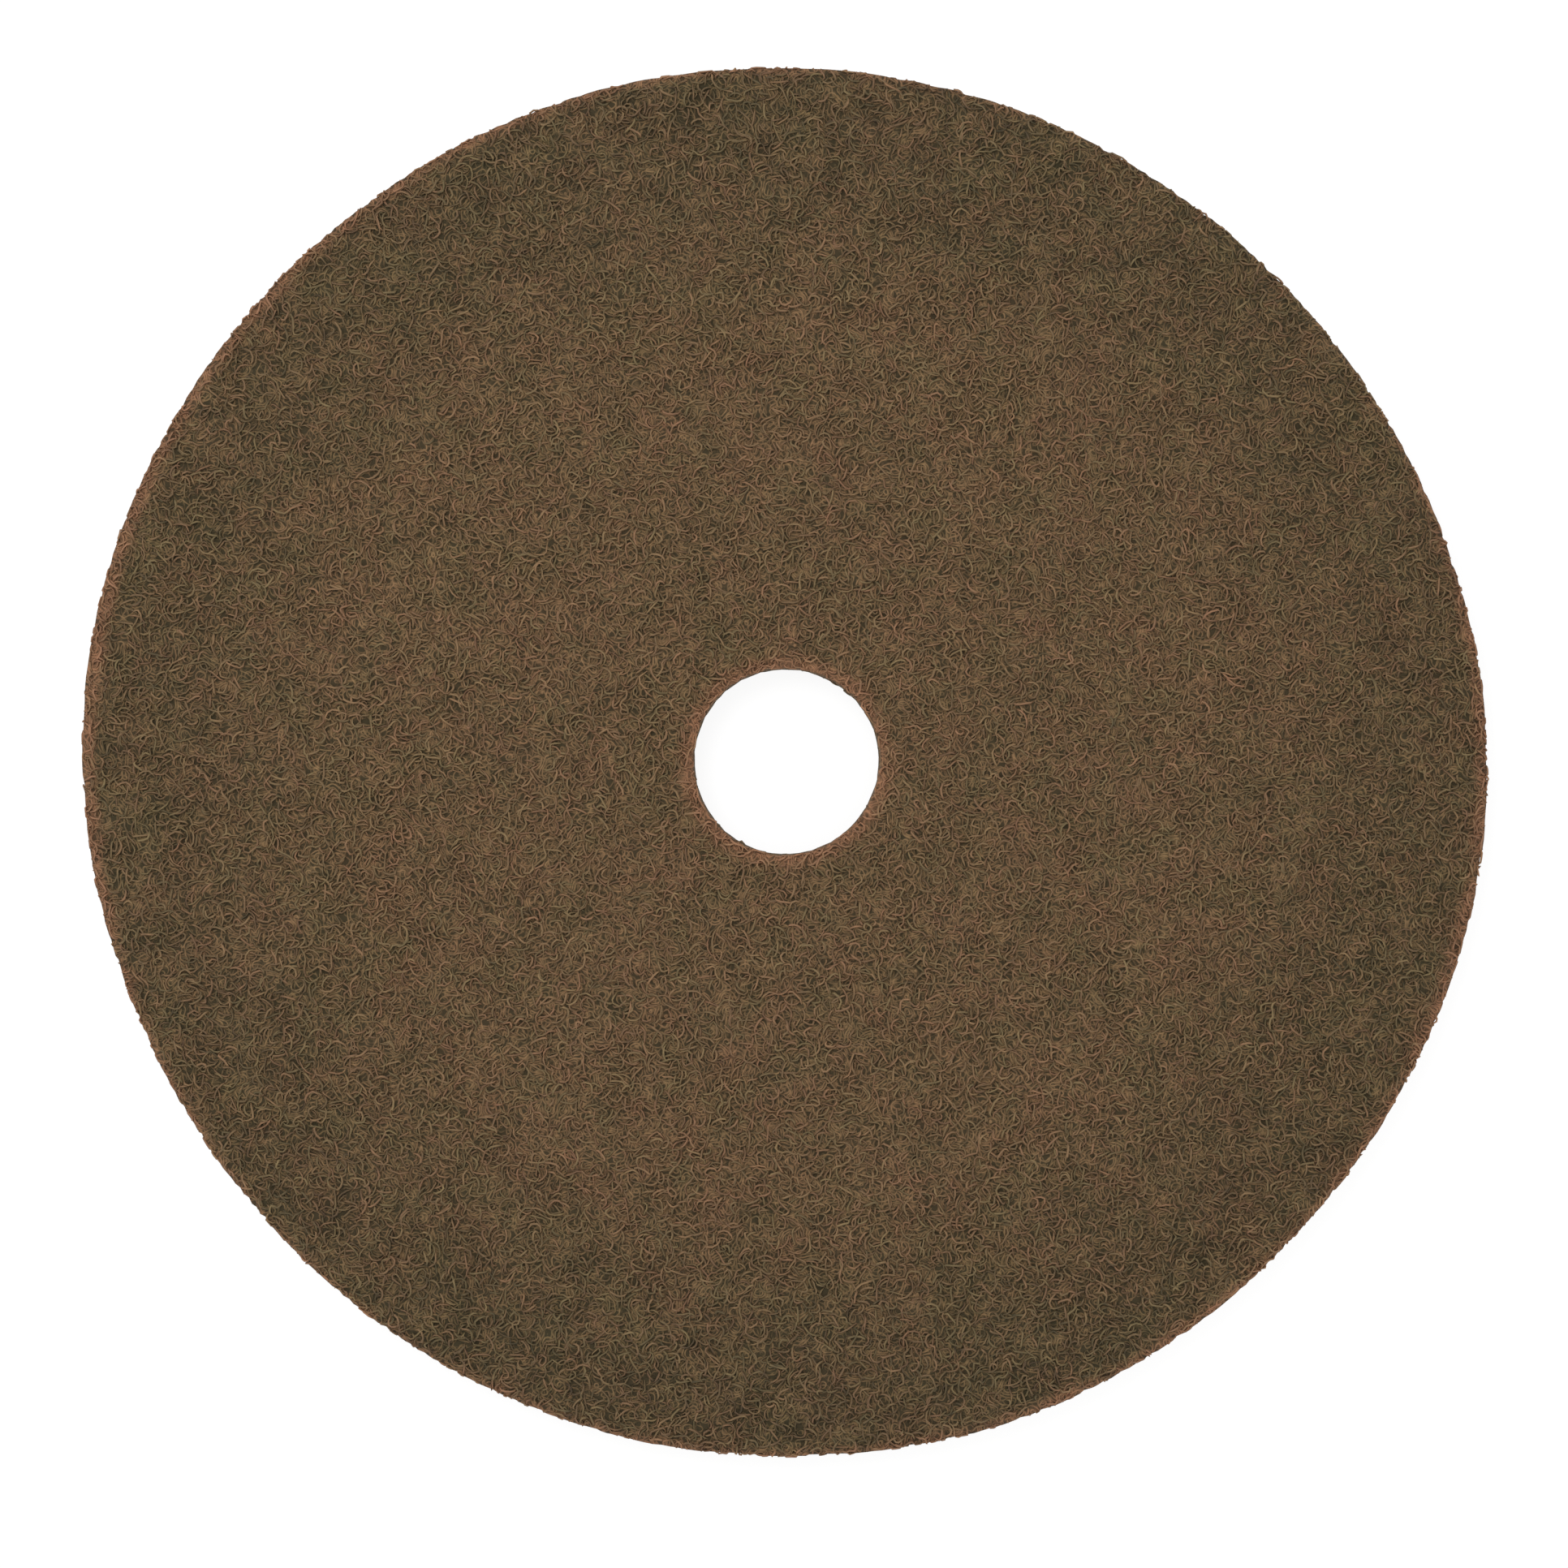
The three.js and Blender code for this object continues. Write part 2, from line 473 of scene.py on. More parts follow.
def trued_walls_group():
    """Takes the tufts off the cut walls, so that their outline is as clean as the die leaves it."""
    name = "trued_walls"
    if name in bpy.data.node_groups:
        return bpy.data.node_groups[name]
    tree, given, results = new_tree(
        "GeometryNodeTree",
        name,
        [
            ("Skin", "NodeSocketGeometry", None),
            ("Steps", "NodeSocketInt", 60),
            ("Draws In", "NodeSocketFloat", 0.0006),
        ],
        [("Skin", "NodeSocketGeometry")],
    )
    position = tree.nodes.new("GeometryNodeInputPosition").outputs[0]
    normal = tree.nodes.new("GeometryNodeInputNormal").outputs[0]
    flat, radius = from_axis(tree, position)
    height = add(tree, "ShaderNodeSeparateXYZ", {"Vector": position}).outputs["Z"]
    upright = add(tree, "ShaderNodeSeparateXYZ", {"Vector": normal}).outputs["Z"]
    outer = sums(tree, "GREATER_THAN", radius, (HOLE_RADIUS + RIM_RADIUS) / 2)
    nominal = sums(tree, "MULTIPLY_ADD", outer, RIM_RADIUS - HOLE_RADIUS, HOLE_RADIUS)
    sense = sums(tree, "MULTIPLY_ADD", outer, 2.0, -1.0)
    beyond = sums(tree, "MULTIPLY", sums(tree, "SUBTRACT", radius, nominal), sense)
    inside = cut_wall_depth(tree, height)

    # The cut line: the mean of the wall's own middle part, over some way along it
    shoulder = THICKNESS - UPPER_ROUNDING
    middle = between(tree, sums(tree, "ABSOLUTE", upright), *TRUING["level"], 1.0, 0.0)
    middle = sums(tree, "MULTIPLY", middle, sums(tree, "LESS_THAN", height, shoulder))
    blurred = []
    for value in (sums(tree, "MULTIPLY", sums(tree, "ADD", beyond, inside), middle), middle):
        blur = add(tree, "GeometryNodeBlurAttribute", data_type="FLOAT")
        put(tree, enabled(blur.inputs, "Value"), value)
        put(tree, blur.inputs["Iterations"], given["Steps"])
        blurred.append(enabled(blur.outputs, "Value"))
    line = sums(tree, "DIVIDE", blurred[0], sums(tree, "MAXIMUM", blurred[1], TRUING["least"]))

    # How much of the way each place goes to it: all on the wall, none on the two faces
    short = sums(tree, "SUBTRACT", line, beyond)
    share = between(tree, short, *TRUING["inside"], 1.0, 0.0)
    share = sums(tree, "MULTIPLY", share, between(tree, height, TRUING["foot"], LOWER_ROUNDING))
    fade = [shoulder + part * UPPER_ROUNDING for part in TRUING["fade"]]
    share = sums(tree, "MULTIPLY", share, between(tree, height, *fade, 1.0, 0.0))
    move = sums(tree, "MULTIPLY", sums(tree, "SUBTRACT", short, inside), sense)
    move = sums(tree, "MULTIPLY", sums(tree, "SUBTRACT", move, given["Draws In"]), share)
    offset = add(
        tree, "ShaderNodeVectorMath", {"Scale": sums(tree, "DIVIDE", move, radius)}, operation="SCALE"
    )
    put(tree, offset.inputs[0], flat)
    moved = add(tree, "GeometryNodeSetPosition", {"Geometry": given["Skin"], "Offset": offset.outputs[0]})
    put(tree, results["Skin"], moved.outputs[0])
    return tree


def core_tree():
    """Sinks the skin into the pits and humps of the matted web under the laid fibres."""
    tree, given, results = new_tree(
        "GeometryNodeTree",
        "matted_core",
        [
            ("Skin", "NodeSocketGeometry", None),
            ("Depth", "NodeSocketFloat", 0.002),
            ("Relief", "NodeSocketFloat", 0.0004),
            ("Lump Scale", "NodeSocketFloat", 70.0),
            ("Share At Walls", "NodeSocketFloat", 0.35),
            ("Material", "NodeSocketMaterial", None),
        ],
        [("Core", "NodeSocketGeometry")],
    )
    position = tree.nodes.new("GeometryNodeInputPosition").outputs[0]
    normal = tree.nodes.new("GeometryNodeInputNormal").outputs[0]
    lumps = noise(tree, given["Lump Scale"], 0.0, position)
    upright = add(tree, "ShaderNodeSeparateXYZ", {"Vector": normal}).outputs["Z"]
    share = between(tree, upright, 0.3, 0.7, given["Share At Walls"], 1.0)
    sunk = sums(tree, "MULTIPLY", between(tree, lumps, 0.35, 0.65, 1.0, 0.0), given["Relief"])
    sunk = sums(tree, "ADD", sunk, given["Depth"])
    sunk = sums(tree, "MULTIPLY", sunk, share)
    sunk = sums(tree, "MULTIPLY", sunk, -1.0)
    offset = add(tree, "ShaderNodeVectorMath", {"Scale": sunk}, operation="SCALE")
    put(tree, offset.inputs[0], normal)
    skin = use_group(tree, trued_walls_group(), {"Skin": given["Skin"]}).outputs["Skin"]
    moved = add(tree, "GeometryNodeSetPosition", {"Geometry": skin, "Offset": offset.outputs[0]})
    tone = use_group(tree, tone_group())
    geometry = moved.outputs[0]
    for attribute in ("Light", "Red"):
        stored = add(
            tree,
            "GeometryNodeStoreNamedAttribute",
            {"Geometry": geometry, "Name": attribute.lower(), "Value": tone.outputs[attribute]},
            data_type="FLOAT",
            domain="POINT",
        )
        geometry = stored.outputs[0]
    put(tree, results["Core"], finished_piece(tree, geometry, given["Material"]))
    return tree


# The laid fibres

STRAND = {
    # How many spots are tried for each one that the spacing has room for
    "tries": 3.0,
    # How bent a strand is, as a share of the tightest curl, and how long, as a share of the longest
    "bend": (0.25, 1.0),
    "span": (0.7, 1.0),
    # Its crimp, and how it rises and sinks on its way
    "crimp_scale": 165.0,
    "rise_scale": 150.0,
    "rise": 1.6,
    # Cut off where it strays further than this from the skin, and left out with fewer points
    "furthest": 0.0012,
    "fewest_points": 3.0,
    # Its ends dive, and thin out from one share of the diameter to another
    "dive_from": 0.34,
    "dive": 0.0012,
    "thin_from": 0.38,
    "thin": (0.5, 0.3),
    # What its own draw, its depth and its side add to how light it is; the depth adds painted shade,
    # darker the deeper the strand lies
    "shade": 0.09,
    "sunk": -0.24,
    "side": 0.012,
    # What its own draw and the way along it add to how red it is
    "hue": 0.35,
    "hue_along": 0.03,
    # How near it may come to the borders of the map
    "border": 0.01,
}


def region(tree, position, normal, given):
    """True where the skin faces between two heights of its normal and lies between two radii."""
    _, radius = from_axis(tree, position)
    facing = add(tree, "ShaderNodeSeparateXYZ", {"Vector": normal}).outputs["Z"]
    inside = sums(tree, "GREATER_THAN", facing, given["Facing From"])
    for value, limit, operation in (
        (facing, "Facing To", "LESS_THAN"),
        (radius, "Radius From", "GREATER_THAN"),
        (radius, "Radius To", "LESS_THAN"),
    ):
        inside = sums(tree, "MULTIPLY", inside, sums(tree, operation, value, given[limit]))
    return inside


def laid_fibres_tree():
    """Lays curled strands on the skin: each an arc with a crimp of its own, bent to the surface."""
    name = "laid_fibres"
    if name in bpy.data.node_groups:
        return bpy.data.node_groups[name]
    tree, given, results = new_tree(
        "GeometryNodeTree",
        name,
        [
            ("Skin", "NodeSocketGeometry", None),
            ("Spacing", "NodeSocketFloat", 0.0051),
            ("Seed", "NodeSocketInt", 1),
            ("Facing From", "NodeSocketFloat", -1.1),
            ("Facing To", "NodeSocketFloat", 1.1),
            ("Radius From", "NodeSocketFloat", 0.0),
            ("Radius To", "NodeSocketFloat", 1.0),
            ("Length", "NodeSocketFloat", 0.0098),
            ("Points", "NodeSocketInt", 6),
            ("Tightest Curl", "NodeSocketFloat", 0.0022),
            ("Crimp", "NodeSocketFloat", 0.0055),
            ("Diameter", "NodeSocketFloat", 0.00105),
            ("Shallowest", "NodeSocketFloat", 0.0008),
            ("Deepest", "NodeSocketFloat", 0.0014),
            ("Lightness", "NodeSocketFloat", 0.0),
            ("Material", "NodeSocketMaterial", None),
        ],
        [("Fibres", "NodeSocketGeometry")],
    )
    position = tree.nodes.new("GeometryNodeInputPosition").outputs[0]
    normal = tree.nodes.new("GeometryNodeInputNormal").outputs[0]
    skin = use_group(tree, trued_walls_group(), {"Skin": given["Skin"]}).outputs["Skin"]

    def chance(low, high, draw):
        seed = sums(tree, "ADD", given["Seed"], 100.0 * draw)
        node = add(tree, "FunctionNodeRandomValue", {"Min": low, "Max": high, "Seed": seed})
        return enabled(node.outputs, "Value")

    # Where each strand has its middle, and what is its own
    room = sums(tree, "MULTIPLY", given["Spacing"], given["Spacing"])
    crowded = sums(tree, "DIVIDE", STRAND["tries"], room)
    spots = add(tree, "GeometryNodeDistributePointsOnFaces", distribute_method="POISSON")
    for socket, value in (
        ("Mesh", skin),
        ("Selection", region(tree, position, normal, given)),
        ("Distance Min", given["Spacing"]),
        ("Density Max", crowded),
        ("Seed", given["Seed"]),
    ):
        put(tree, enabled(spots.inputs, socket), value)
    sharpest = sums(tree, "DIVIDE", 1.0, given["Tightest Curl"])
    bend = chance(*STRAND["bend"], 1)
    bend = sums(tree, "MULTIPLY", bend, sums(tree, "SIGN", chance(-1.0, 1.0, 8)))
    own = {
        "Home": ("VECTOR", position),
        "Frame": ("ROTATION", spots.outputs["Rotation"]),
        "Curl": ("FLOAT", sums(tree, "MULTIPLY", bend, sharpest)),
        "Heading": ("FLOAT", chance(0.0, FULL_TURN, 2)),
        "Own": ("FLOAT", chance(0.0, 100.0, 3)),
        "Depth": ("FLOAT", chance(0.0, 1.0, 4)),
        "Shade": ("FLOAT", chance(-1.0, 1.0, 5)),
        "Hue": ("FLOAT", chance(-1.0, 1.0, 6)),
        "Span": ("FLOAT", chance(*STRAND["span"], 7)),
    }
    kept = tree.nodes.new("GeometryNodeCaptureAttribute")
    for label, (kind, value) in own.items():
        kept.capture_items.new(kind, label)
        put(tree, kept.inputs[label], value)
    put(tree, kept.inputs["Geometry"], spots.outputs["Points"])
    line = add(tree, "GeometryNodeResampleCurve", {"Count": given["Points"]})
    put(tree, line.inputs["Curve"], tree.nodes.new("GeometryNodeCurvePrimitiveLine").outputs[0])
    placed = add(
        tree,
        "GeometryNodeInstanceOnPoints",
        {"Points": kept.outputs["Geometry"], "Instance": line.outputs[0]},
    )
    strands = add(tree, "GeometryNodeRealizeInstances", {"Geometry": placed.outputs[0]}).outputs[0]
    mine = kept.outputs

    # The flat arc that a strand follows
    share = tree.nodes.new("GeometryNodeSplineParameter").outputs["Factor"]
    length = sums(tree, "MULTIPLY", given["Length"], mine["Span"])
    along = sums(tree, "MULTIPLY", sums(tree, "SUBTRACT", share, 0.5), length)
    turned = sums(tree, "MULTIPLY_ADD", mine["Curl"], along, mine["Heading"])
    sides = []
    for wave, first, second in (
        ("SINE", turned, mine["Heading"]),
        ("COSINE", mine["Heading"], turned),
    ):
        gap = sums(tree, "SUBTRACT", sums(tree, wave, first), sums(tree, wave, second))
        sides.append(sums(tree, "DIVIDE", gap, mine["Curl"]))
    arc = add(tree, "ShaderNodeCombineXYZ", {"X": sides[0], "Y": sides[1]}).outputs[0]
    arc = add(tree, "FunctionNodeRotateVector", {"Vector": arc, "Rotation": mine["Frame"]}).outputs[0]
    spot = add(tree, "ShaderNodeVectorMath", operation="ADD")
    put(tree, spot.inputs[0], mine["Home"])
    put(tree, spot.inputs[1], arc)

    # Its own crimp
    shake = noise(tree, STRAND["crimp_scale"], 0.0, spot.outputs[0], mine["Own"], "Color")
    centred = add(tree, "ShaderNodeVectorMath", operation="SUBTRACT")
    put(tree, centred.inputs[0], shake)
    put(tree, centred.inputs[1], (0.5, 0.5, 0.5))
    crimp = add(tree, "ShaderNodeVectorMath", {"Scale": given["Crimp"]}, operation="SCALE")
    put(tree, crimp.inputs[0], centred.outputs[0])
    crimped = add(tree, "ShaderNodeVectorMath", operation="ADD")
    put(tree, crimped.inputs[0], spot.outputs[0])
    put(tree, crimped.inputs[1], crimp.outputs[0])
    spread = add(tree, "GeometryNodeSetPosition", {"Geometry": strands, "Position": crimped.outputs[0]})

    # The strand bent to the skin, and cut off where it would leave it at an edge
    nearest = add(tree, "GeometryNodeProximity", {"Geometry": skin}, target_element="FACES")
    outwards = add(
        tree,
        "GeometryNodeSampleNearestSurface",
        {"Mesh": skin, "Value": normal},
        data_type="FLOAT_VECTOR",
    )
    off_skin = sums(tree, "GREATER_THAN", nearest.outputs["Distance"], STRAND["furthest"])
    cut = add(
        tree, "GeometryNodeDeleteGeometry", {"Geometry": spread.outputs[0], "Selection": off_skin}
    )
    left = tree.nodes.new("GeometryNodeSplineLength").outputs["Point Count"]
    stub = sums(tree, "LESS_THAN", left, STRAND["fewest_points"])
    cut = add(
        tree,
        "GeometryNodeDeleteGeometry",
        {"Geometry": cut.outputs[0], "Selection": stub},
        domain="CURVE",
    )
    rise = noise(tree, STRAND["rise_scale"], 0.0, position, mine["Own"])
    rise = sums(tree, "MULTIPLY_ADD", rise, STRAND["rise"], -STRAND["rise"] / 2)
    rise = sums(tree, "ADD", rise, mine["Depth"])
    rise = sums(tree, "MINIMUM", sums(tree, "MAXIMUM", rise, 0.0), 1.0)
    reach = sums(tree, "SUBTRACT", given["Deepest"], given["Shallowest"])
    ends = sums(tree, "ABSOLUTE", sums(tree, "SUBTRACT", share, 0.5))
    depth = sums(tree, "MULTIPLY_ADD", rise, reach, given["Shallowest"])
    depth = sums(tree, "ADD", depth, between(tree, ends, STRAND["dive_from"], 0.5, 0.0, STRAND["dive"]))
    inwards = add(
        tree, "ShaderNodeVectorMath", {"Scale": sums(tree, "MULTIPLY", depth, -1.0)}, operation="SCALE"
    )
    put(tree, inwards.inputs[0], enabled(outwards.outputs, "Value"))
    bent = add(
        tree,
        "GeometryNodeSetPosition",
        {
            "Geometry": cut.outputs[0],
            "Position": nearest.outputs["Position"],
            "Offset": inwards.outputs[0],
        },
    )

    # A closed tube with three sides, thinner at its ends
    taper = between(tree, ends, STRAND["thin_from"], 0.5, *STRAND["thin"])
    thick = sums(tree, "MULTIPLY", given["Diameter"], taper)
    kept_rise = tree.nodes.new("GeometryNodeCaptureAttribute")
    kept_rise.capture_items.new("FLOAT", "Rise")
    put(tree, kept_rise.inputs["Rise"], rise)
    put(tree, kept_rise.inputs["Geometry"], bent.outputs[0])
    ring = add(tree, "GeometryNodeCurvePrimitiveCircle", {"Resolution": 3, "Radius": 1.0})
    around = tree.nodes.new("GeometryNodeCaptureAttribute")
    around.capture_items.new("FLOAT", "Around")
    put(tree, around.inputs["Around"], tree.nodes.new("GeometryNodeInputIndex").outputs[0])
    put(tree, around.inputs["Geometry"], ring.outputs[0])
    tube = add(
        tree,
        "GeometryNodeCurveToMesh",
        {
            "Curve": kept_rise.outputs["Geometry"],
            "Profile Curve": around.outputs["Geometry"],
            "Scale": thick,
            "Fill Caps": True,
        },
    )

    # Its place on the fibres' map: how light it is, and how red
    tone = use_group(tree, tone_group())
    # Painted shade of the layer's depth: lower layers darker, the top one lighter
    light = sums(tree, "ADD", tone.outputs["Light"], given["Lightness"])
    # Painted shade of the open pits in the web, and lighter where it is dense
    light = sums(tree, "ADD", light, pits(tree, position))
    light = sums(tree, "MULTIPLY_ADD", mine["Shade"], STRAND["shade"], light)
    # Painted shade: the deeper the strand lies, the darker it is painted
    light = sums(tree, "MULTIPLY_ADD", kept_rise.outputs["Rise"], STRAND["sunk"], light)
    light = sums(tree, "MULTIPLY_ADD", around.outputs["Around"], STRAND["side"], light)
    red = sums(tree, "MULTIPLY_ADD", mine["Hue"], STRAND["hue"], tone.outputs["Red"])
    red = sums(tree, "MULTIPLY_ADD", share, STRAND["hue_along"], red)
    light = sums(tree, "MINIMUM", sums(tree, "MAXIMUM", light, STRAND["border"]), 1 - STRAND["border"])
    red = sums(tree, "MINIMUM", sums(tree, "MAXIMUM", red, STRAND["border"]), 1 - STRAND["border"])
    mapped = add(
        tree,
        "GeometryNodeStoreNamedAttribute",
        {
            "Geometry": tube.outputs[0],
            "Name": FIBRE_MAP,
            "Value": add(tree, "ShaderNodeCombineXYZ", {"X": light, "Y": red}).outputs[0],
        },
        data_type="FLOAT2",
        domain="CORNER",
    )
    put(tree, results["Fibres"], finished_piece(tree, mapped.outputs[0], given["Material"]))
    return tree


def lay_fibres(name, web, colours, **values):
    """One piece of the fibre web, riding on the pad."""
    shared = {
        "Length": web.strand_length,
        "Tightest Curl": web.tightest_curl,
        "Crimp": web.crimp,
        "Diameter": web.fibre_diameter,
        "Material": fibre_material(colours),
    }
    skin = skin_mesh("skin", web.skin_pitch, web.skin_smoothings)
    piece = made_by_nodes(name, skin, laid_fibres_tree(), shared | values)
    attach(piece, BODY)
    return piece


# What a user can change


class PadWebSettings(bpy.types.PropertyGroup):
    skin_pitch: bpy.props.FloatProperty(
        name="Skin pitch", description="Size of the faces that the fibres are laid on", default=0.0032,
        subtype="DISTANCE",
    )
    core_pitch: bpy.props.FloatProperty(
        name="Core pitch", description="Size of the faces of the core", default=0.0040,
        subtype="DISTANCE",
    )
    skin_smoothings: bpy.props.IntProperty(
        name="Skin smoothings", description="How often those faces are smoothed", default=7
    )
    core_smoothings: bpy.props.IntProperty(
        name="Core smoothings", description="How often the faces of the core are smoothed", default=4
    )
    strand_length: bpy.props.FloatProperty(
        name="Strand length", description="Longest stretch of fibre that shows", default=0.0098,
        subtype="DISTANCE",
    )
    tightest_curl: bpy.props.FloatProperty(
        name="Tightest curl", description="Smallest radius of a curl", default=0.0022, subtype="DISTANCE"
    )
    crimp: bpy.props.FloatProperty(
        name="Crimp", description="How far a fibre strays from its curl", default=0.0055,
        subtype="DISTANCE",
    )
    fibre_diameter: bpy.props.FloatProperty(
        name="Fibre diameter", description="Thickness of a coated fibre", default=0.00105,
        subtype="DISTANCE",
    )
    core_depth: bpy.props.FloatProperty(
        name="Core depth", description="How far the core lies under the skin", default=0.0020,
        subtype="DISTANCE",
    )
    core_relief: bpy.props.FloatProperty(
        name="Core relief", description="Depth of the pits in the core", default=0.0004,
        subtype="DISTANCE",
    )


class PadColourSettings(bpy.types.PropertyGroup):
    # The web runs from the dark ends to the light ones partly by its own random tone and partly as
    # painted shade of depth, gaps and pits
    olive_dark: bpy.props.FloatVectorProperty(
        name="Dark olive", description="Deep fibres", default=(0.032, 0.026, 0.0080), subtype="COLOR"
    )
    olive_light: bpy.props.FloatVectorProperty(
        name="Light olive", description="Top fibres", default=(0.262, 0.181, 0.076), subtype="COLOR"
    )
    red_dark: bpy.props.FloatVectorProperty(
        name="Dark red-brown", description="Deep red fibres", default=(0.048, 0.027, 0.0100),
        subtype="COLOR",
    )
    red_light: bpy.props.FloatVectorProperty(
        name="Light red-brown", description="Top red fibres", default=(0.340, 0.165, 0.084),
        subtype="COLOR",
    )
    fibre_roughness: bpy.props.FloatProperty(
        name="Fibre roughness", description="How matt the resin on the fibres is", default=0.75
    )
    core_roughness: bpy.props.FloatProperty(
        name="Core roughness", description="How matt the core is", default=0.95
    )
    core_layers: bpy.props.IntProperty(
        name="Core layers", description="Layers of curled lines on the core", default=3
    )


class PadStageSettings(bpy.types.PropertyGroup):
    lens: bpy.props.FloatProperty(name="Lens", description="Focal length in millimetres", default=85.0)
    sky: bpy.props.FloatProperty(name="Sky", description="Light from all round", default=0.9)
    softbox: bpy.props.FloatProperty(
        name="Softbox", description="Power of the soft lamp", default=8.0, unit="POWER"
    )


# What makes each piece


class PAD_OT_core(bpy.types.Operator):
    """Make the matted core inside the fibre web"""

    bl_idname = "pad.core"
    bl_label = "Core"

    def execute(self, context):
        web, colours = context.scene.pad_web, context.scene.pad_colours
        values = {
            "Depth": web.core_depth,
            "Relief": web.core_relief,
            "Material": core_material(colours),
        }
        skin = skin_mesh("core_skin", web.core_pitch, web.core_smoothings)
        core = made_by_nodes("matted_core", skin, core_tree(), values)
        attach(core, BODY)
        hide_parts(PAD_NODE)
        return {"FINISHED"}


class PAD_OT_working_web(bpy.types.Operator):
    """Lay the fibres of the working face, from the lowest layer to the highest"""

    bl_idname = "pad.working_web"
    bl_label = "Working face"

    # Each layer lies deeper than the next and is painted a little darker, as painted shade of its depth
    layers = (
        ("working_web_lowest", 11, 0.0013, 0.0019, -0.02),
        ("working_web_lower", 12, 0.0011, 0.0017, -0.01),
        ("working_web_upper", 13, 0.0009, 0.0015, 0.0),
        ("working_web_top", 14, 0.0008, 0.0014, 0.01),
    )

    def execute(self, context):
        web, colours = context.scene.pad_web, context.scene.pad_colours
        for name, seed, shallowest, deepest, painted_depth_shade in self.layers:
            lay_fibres(
                name, web, colours,
                **{
                    "Spacing": 0.0051, "Seed": seed, "Facing From": 0.4,
                    "Shallowest": shallowest, "Deepest": deepest, "Lightness": painted_depth_shade,
                },
            )
        return {"FINISHED"}


class PAD_OT_back_web(bpy.types.Operator):
    """Lay the fibres of the back, flatter than on the working face"""

    bl_idname = "pad.back_web"
    bl_label = "Back"

    def execute(self, context):
        web, colours = context.scene.pad_web, context.scene.pad_colours
        lay_fibres(
            "back_web", web, colours,
            **{"Spacing": 0.0105, "Seed": 21, "Facing To": -0.6, "Shallowest": 0.0007, "Deepest": 0.0010},
        )
        return {"FINISHED"}


class PAD_OT_cut_walls(bpy.types.Operator):
    """Lay the fibres of the cut walls, round the rim and inside the hole"""

    bl_idname = "pad.cut_walls"
    bl_label = "Cut walls"

    walls = (("rim_web", 31, 0.15, 1.0), ("hole_web", 32, 0.0, 0.15))

    def execute(self, context):
        web, colours = context.scene.pad_web, context.scene.pad_colours
        for name, seed, nearest, furthest in self.walls:
            lay_fibres(
                name, web, colours,
                **{
                    "Spacing": 0.0043, "Seed": seed, "Facing From": -0.6, "Facing To": 0.6,
                    "Radius From": nearest, "Radius To": furthest,
                    "Shallowest": 0.0007, "Deepest": 0.0010,
                },
            )
        return {"FINISHED"}


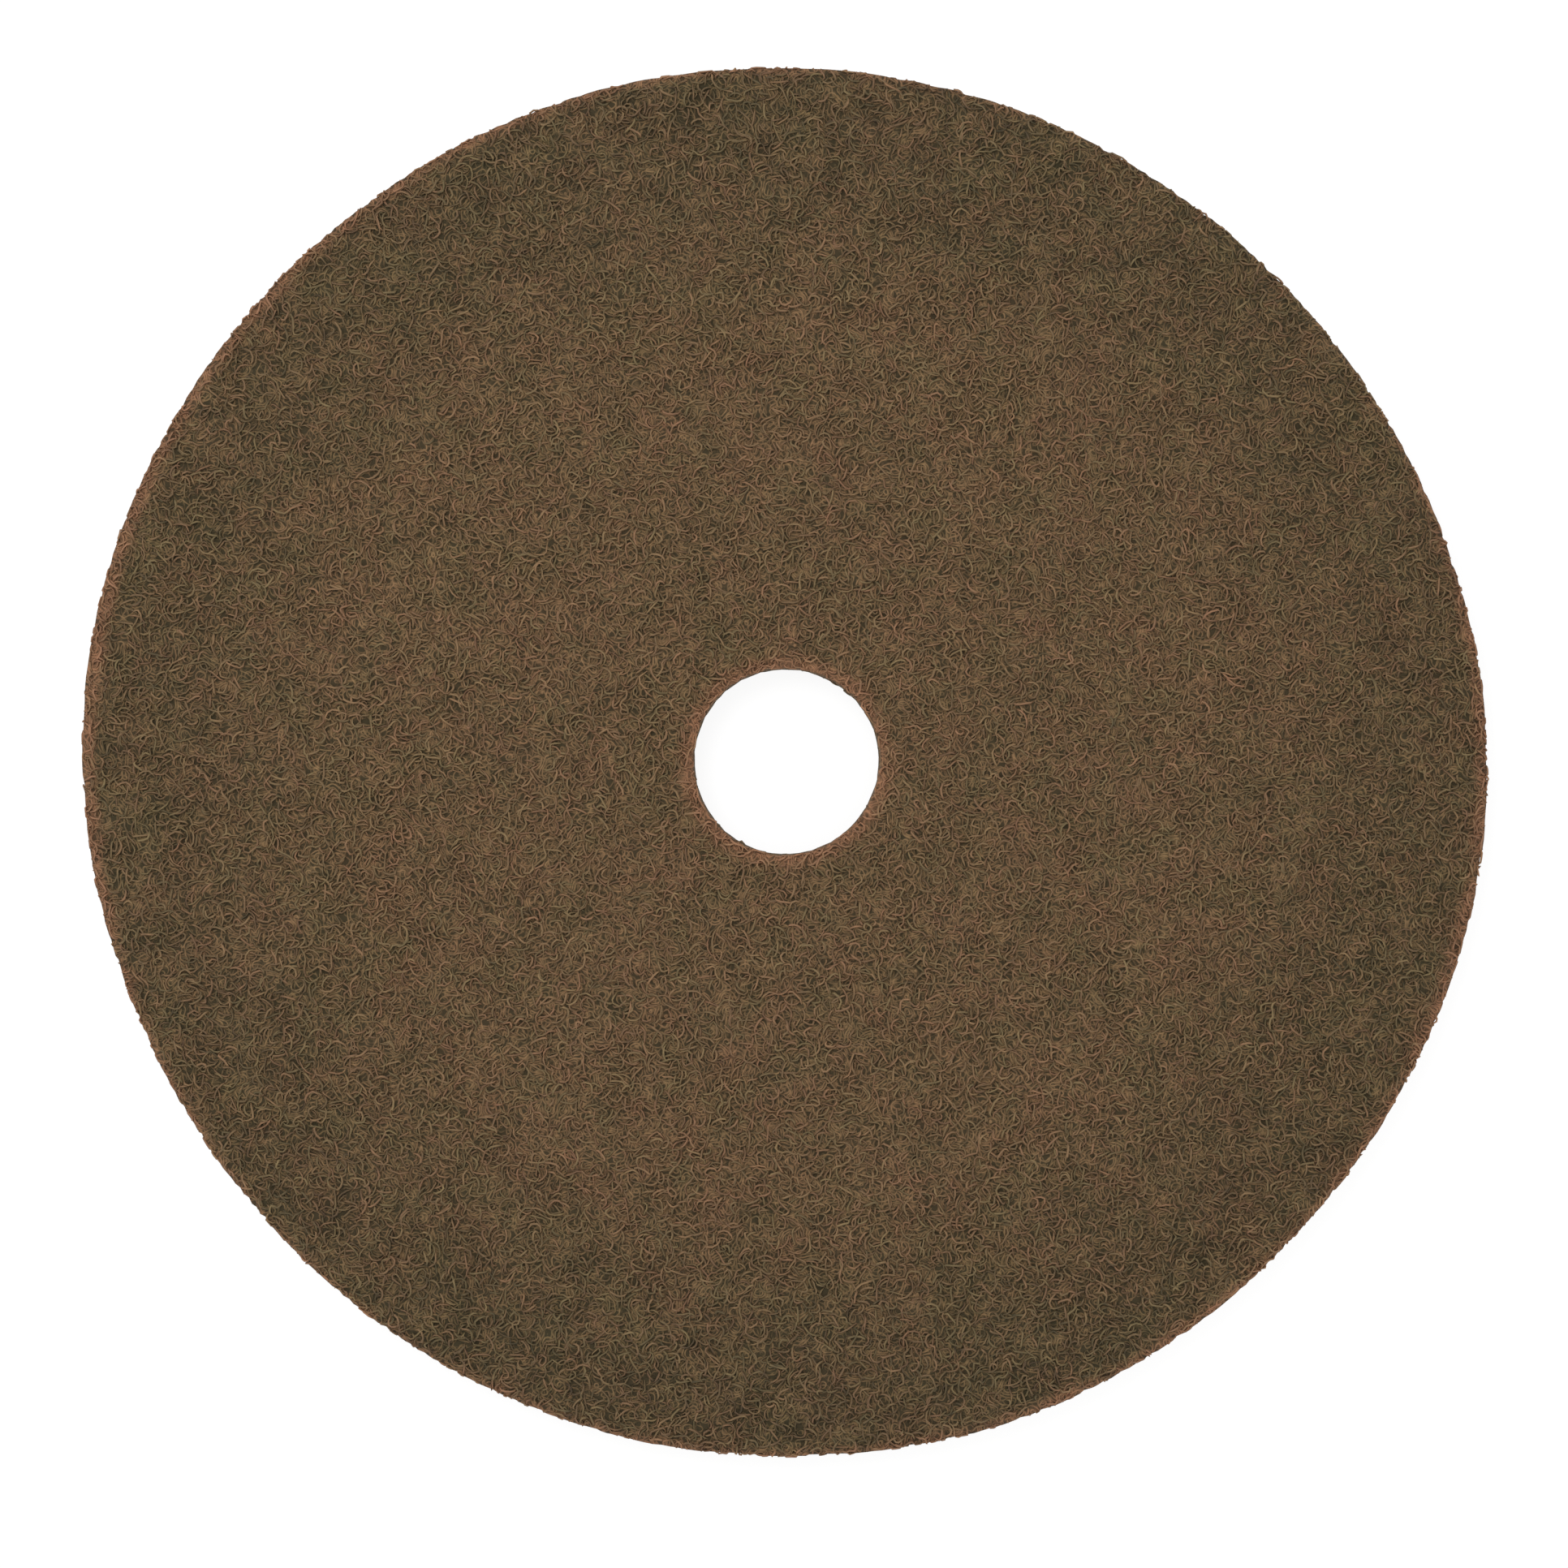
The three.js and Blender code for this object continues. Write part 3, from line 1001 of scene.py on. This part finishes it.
class PAD_OT_stage(bpy.types.Operator):
    """Make the floor, the light and the camera above the pad"""

    bl_idname = "pad.stage"
    bl_label = "Stage"

    # The photograph's frame, in its own pixels
    frame_side = 1932
    rim_radius = 858.0
    rim_centre = (966.2, 939.1)
    # Where that rim is on the pad, in metres
    rim_on_pad = (-0.0008, -0.0003)
    sensor = 36.0
    floor_side = 8.0
    floor_colour = (0.8, 0.8, 0.8, 1)
    floor_roughness = 0.9
    # What the camera sees of the floor: nearly its own white, and a faint share that the shadow dims
    floor_glow = 0.86
    floor_shaded = (0.2, 0.2, 0.2, 1)
    white = (1, 1, 1, 1)
    softbox_place = (-0.5, 0.6, 1.5)
    softbox_size = 0.9

    def execute(self, context):
        stage = context.scene.pad_stage
        self.make_camera(context, stage)
        self.make_floor(context)
        self.make_lights(context, stage)
        context.scene.view_settings.view_transform = "Standard"
        return {"FINISHED"}

    def make_camera(self, context, stage):
        metres_per_pixel = RIM_RADIUS / self.rim_radius
        seen = metres_per_pixel * self.frame_side
        data = bpy.data.cameras.new("camera")
        data.lens = stage.lens
        data.sensor_width = self.sensor
        camera = bpy.data.objects.new("camera", data)
        context.scene.collection.objects.link(camera)
        right = (self.rim_centre[0] - self.frame_side / 2) * metres_per_pixel
        up = (self.frame_side / 2 - self.rim_centre[1]) * metres_per_pixel
        camera.location = (
            self.rim_on_pad[0] - right,
            self.rim_on_pad[1] - up,
            THICKNESS / 2 + seen * stage.lens / self.sensor,
        )
        context.scene.camera = camera

    def make_floor(self, context):
        mesh = bpy.data.meshes.new("floor")
        half = self.floor_side / 2
        corners = [(-half, -half, 0), (half, -half, 0), (half, half, 0), (-half, half, 0)]
        mesh.from_pydata(corners, [], [(0, 1, 2, 3)])
        floor = bpy.data.objects.new("floor", mesh)
        context.scene.collection.objects.link(floor)
        material, tree, surface = plain_material("white_floor", self.floor_roughness)
        surface.inputs["Base Color"].default_value = self.floor_colour
        faint = add(tree, "ShaderNodeBsdfDiffuse", {"Color": self.floor_shaded})
        white = add(tree, "ShaderNodeEmission", {"Color": self.white, "Strength": self.floor_glow})
        shown = tree.nodes.new("ShaderNodeAddShader")
        put(tree, shown.inputs[0], faint.outputs[0])
        put(tree, shown.inputs[1], white.outputs[0])
        mix = tree.nodes.new("ShaderNodeMixShader")
        put(tree, mix.inputs[0], sight_rays(tree))
        put(tree, mix.inputs[1], surface.outputs[0])
        put(tree, mix.inputs[2], shown.outputs[0])
        output = next(n for n in tree.nodes if n.type == "OUTPUT_MATERIAL")
        put(tree, output.inputs["Surface"], mix.outputs[0])
        material.cycles.emission_sampling = "NONE"
        mesh.materials.append(material)

    def make_lights(self, context, stage):
        world = bpy.data.worlds.new("sky")
        context.scene.world = world
        world.use_nodes = True
        tree = world.node_tree
        tree.nodes.clear()
        light = add(tree, "ShaderNodeBackground", {"Color": self.white, "Strength": stage.sky})
        white = add(tree, "ShaderNodeBackground", {"Color": self.white, "Strength": 1.0})
        mix = tree.nodes.new("ShaderNodeMixShader")
        put(tree, mix.inputs[0], sight_rays(tree))
        put(tree, mix.inputs[1], light.outputs[0])
        put(tree, mix.inputs[2], white.outputs[0])
        put(tree, tree.nodes.new("ShaderNodeOutputWorld").inputs["Surface"], mix.outputs[0])
        data = bpy.data.lights.new("softbox", "AREA")
        data.shape = "DISK"
        data.size = self.softbox_size
        data.energy = stage.softbox
        softbox = bpy.data.objects.new("softbox", data)
        softbox.location = self.softbox_place
        aim = -softbox.location
        softbox.rotation_mode = "QUATERNION"
        softbox.rotation_quaternion = aim.to_track_quat("-Z", "Y")
        context.scene.collection.objects.link(softbox)


PIECE_OPERATORS = (PAD_OT_core, PAD_OT_working_web, PAD_OT_back_web, PAD_OT_cut_walls)


class PAD_PT_sidebar(bpy.types.Panel):
    """Lists the pad's pieces and settings"""

    bl_label = "Polishing Pad"
    bl_space_type = "VIEW_3D"
    bl_region_type = "UI"
    bl_category = "Pad"

    def draw(self, context):
        layout = self.layout
        for settings in (context.scene.pad_web, context.scene.pad_colours, context.scene.pad_stage):
            box = layout.box()
            for name in settings.__annotations__:
                box.prop(settings, name)
        for operator in (*PIECE_OPERATORS, PAD_OT_stage):
            layout.operator(operator.bl_idname)


SETTINGS = {"pad_web": PadWebSettings, "pad_colours": PadColourSettings, "pad_stage": PadStageSettings}
CLASSES = (*SETTINGS.values(), *PIECE_OPERATORS, PAD_OT_stage, PAD_PT_sidebar)


def register():
    for item in CLASSES:
        bpy.utils.register_class(item)
    for name, group in SETTINGS.items():
        setattr(bpy.types.Scene, name, bpy.props.PointerProperty(type=group))


def unregister():
    for name in SETTINGS:
        delattr(bpy.types.Scene, name)
    for item in reversed(CLASSES):
        bpy.utils.unregister_class(item)


def main():
    register()
    bpy.ops.pad.core()
    bpy.ops.pad.working_web()
    bpy.ops.pad.back_web()
    bpy.ops.pad.cut_walls()
    bpy.ops.pad.stage()


if __name__ == "__main__":
    main()
